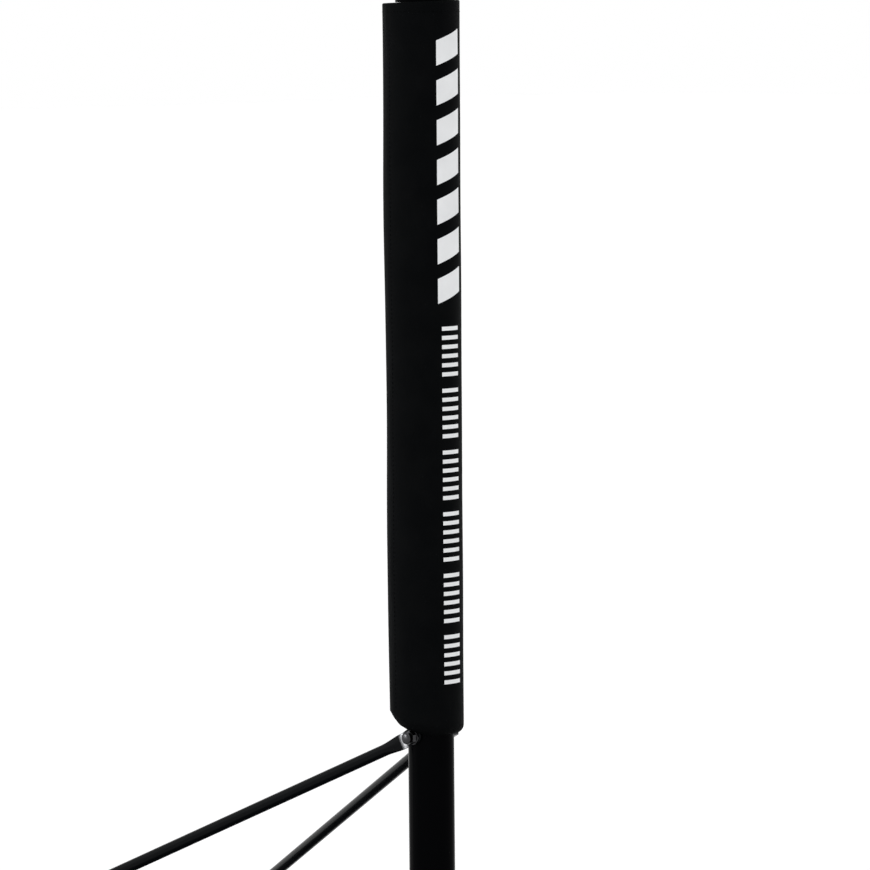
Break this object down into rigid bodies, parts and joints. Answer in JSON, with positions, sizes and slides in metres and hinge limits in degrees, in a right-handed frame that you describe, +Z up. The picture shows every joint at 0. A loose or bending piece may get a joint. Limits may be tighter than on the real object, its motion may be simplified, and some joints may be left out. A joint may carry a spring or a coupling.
{
  "type": "volleyball net on poles",
  "caption": "Free-standing volleyball net on two padded telescoping poles, each braced on a wheeled ballast tank, with a geared hand winch for the net cable.",
  "frame": {"origin": "on the floor, at the centre of the whole net system's footprint, under the middle of the net", "axes": "+X along the net, +Y from the near side to the far side, +Z up"},
  "size_m": [11.4184, 0.7, 2.4425],
  "materials": {
    "tank_plastic": "moulded black polyethylene, lightly textured",
    "black_steel": "black powder coat, semi-gloss",
    "brace_paint": "black enamel, worn bright at the pressed ends",
    "bolt_steel": "dark phosphated steel, satin",
    "bright_steel": "zinc plated",
    "grey_plastic": "moulded nylon",
    "pad_vinyl": "coated pad cover, matte",
    "pad_print": "white screen print",
    "wheel_plastic": "hard moulded tread",
    "head_metal": "cast, satin",
    "cable_wire": "stranded and clear coated",
    "net_cord": "knotted black twine",
    "band_cloth": "white coated webbing",
    "rope_cord": "braided white cord",
    "rod_fibre": "glass fibre rod",
    "winch_zinc": "zinc plated plate"
  },
  "bodies": {
    "stand": {"left_base_tank": "tank_plastic", "left_axle": "bright_steel", "left_outer_pole": "black_steel", "left_top_bush": "grey_plastic", "left_pole_pad": "pad_vinyl", "left_clamp_collar": "black_steel", "left_near_strut": "brace_paint", "left_far_strut": "brace_paint", "right_base_tank": "tank_plastic", "right_axle": "bright_steel", "right_outer_pole": "black_steel", "right_top_bush": "grey_plastic", "right_pole_pad": "pad_vinyl", "right_clamp_collar": "black_steel", "right_near_strut": "brace_paint", "right_far_strut": "brace_paint", "strut_bolts": "bolt_steel", "strut_nuts": "bolt_steel", "strut_foot_bolts": "bright_steel", "axle_caps": "bright_steel", "clamp_bolts": "bright_steel"},
    "left_upright": {"left_inner_pole": "black_steel", "left_bottom_bush": "grey_plastic", "left_head": "head_metal", "left_head_pin": "bright_steel", "left_eyebolts": "bright_steel", "winch_frame": "winch_zinc", "winch_straps": "winch_zinc", "winch_strap_bolts": "bright_steel", "net_upright_strings": "net_cord", "net_level_strings": "net_cord", "net_top_band": "band_cloth", "net_bottom_band": "band_cloth", "net_side_bands": "band_cloth", "net_side_rods": "rod_fibre", "net_ties": "rope_cord", "bottom_rope": "rope_cord", "top_cable": "cable_wire", "cable_thimble": "cable_wire"},
    "right_upright": {"right_inner_pole": "black_steel", "right_bottom_bush": "grey_plastic", "right_head": "head_metal", "right_head_pin": "bright_steel", "right_eyebolts": "bright_steel"},
    "pulley": {"head_pulley": "grey_plastic"},
    "drum": {"winch_drum": "winch_zinc", "winch_gear": "winch_zinc", "cable_coil": "cable_wire"},
    "crank": {"winch_pinion": "bright_steel", "winch_crank": "winch_zinc"},
    "grip": {"crank_grip": "grey_plastic"},
    "left_lever": {"left_clamp_lever": "black_steel"},
    "left_cap": {"left_filler_cap": "grey_plastic"},
    "left_near_wheel": {"left_near_wheel": "wheel_plastic"},
    "left_far_wheel": {"left_far_wheel": "wheel_plastic"},
    "right_lever": {"right_clamp_lever": "black_steel"},
    "right_cap": {"right_filler_cap": "grey_plastic"},
    "right_near_wheel": {"right_near_wheel": "wheel_plastic"},
    "right_far_wheel": {"right_far_wheel": "wheel_plastic"}
  },
  "joints": [
    {"name": "left_height", "type": "slide", "parent": "stand", "child": "left_upright", "axis": [0, 0, 1], "range_m": [-0.19, 0.05]},
    {"name": "left_clamp", "type": "hinge", "parent": "stand", "child": "left_lever", "pos_m": [-5.0385, 0.0193, 1.2285], "axis": [0, 0, 1], "range_deg": [0, 150]},
    {"name": "left_cap_turn", "type": "hinge", "parent": "stand", "child": "left_cap", "pos_m": [-5.56, 0, 0.1], "axis": [0, 0, 1], "continuous": true},
    {"name": "left_near_wheel_spin", "type": "hinge", "parent": "stand", "child": "left_near_wheel", "pos_m": [-4.795, -0.2365, 0.058], "axis": [0, 1, 0], "continuous": true},
    {"name": "left_far_wheel_spin", "type": "hinge", "parent": "stand", "child": "left_far_wheel", "pos_m": [-4.795, 0.2365, 0.058], "axis": [0, 1, 0], "continuous": true},
    {"name": "right_height", "type": "slide", "parent": "stand", "child": "right_upright", "axis": [0, 0, 1], "range_m": [-0.19, 0.05]},
    {"name": "right_clamp", "type": "hinge", "parent": "stand", "child": "right_lever", "pos_m": [5.0385, -0.0193, 1.2285], "axis": [0, 0, 1], "range_deg": [0, 150]},
    {"name": "right_cap_turn", "type": "hinge", "parent": "stand", "child": "right_cap", "pos_m": [5.56, 0, 0.1], "axis": [0, 0, 1], "continuous": true},
    {"name": "right_near_wheel_spin", "type": "hinge", "parent": "stand", "child": "right_near_wheel", "pos_m": [4.795, -0.2365, 0.058], "axis": [0, 1, 0], "continuous": true},
    {"name": "right_far_wheel_spin", "type": "hinge", "parent": "stand", "child": "right_far_wheel", "pos_m": [4.795, 0.2365, 0.058], "axis": [0, 1, 0], "continuous": true},
    {"name": "winch_turn", "type": "hinge", "parent": "left_upright", "child": "drum", "pos_m": [-5.0538, 0, 1.575], "axis": [0, 1, 0], "continuous": true},
    {"name": "crank_turn", "type": "hinge", "parent": "left_upright", "child": "crank", "pos_m": [-5.08723, 0, 1.53517], "axis": [0, 1, 0], "continuous": true},
    {"name": "grip_spin", "type": "hinge", "parent": "crank", "child": "grip", "pos_m": [-5.08723, -0.1, 1.42017], "axis": [0, 1, 0], "continuous": true},
    {"name": "pulley_turn", "type": "hinge", "parent": "left_upright", "child": "pulley", "pos_m": [-5, 0, 2.393], "axis": [0, 1, 0], "continuous": true}
  ],
  "couplings": [
    {"joint": "right_height", "follows": "left_height", "ratio": 1},
    {"joint": "crank_turn", "follows": "winch_turn", "ratio": -3.3333},
    {"joint": "pulley_turn", "follows": "winch_turn", "ratio": -0.59375}
  ]
}
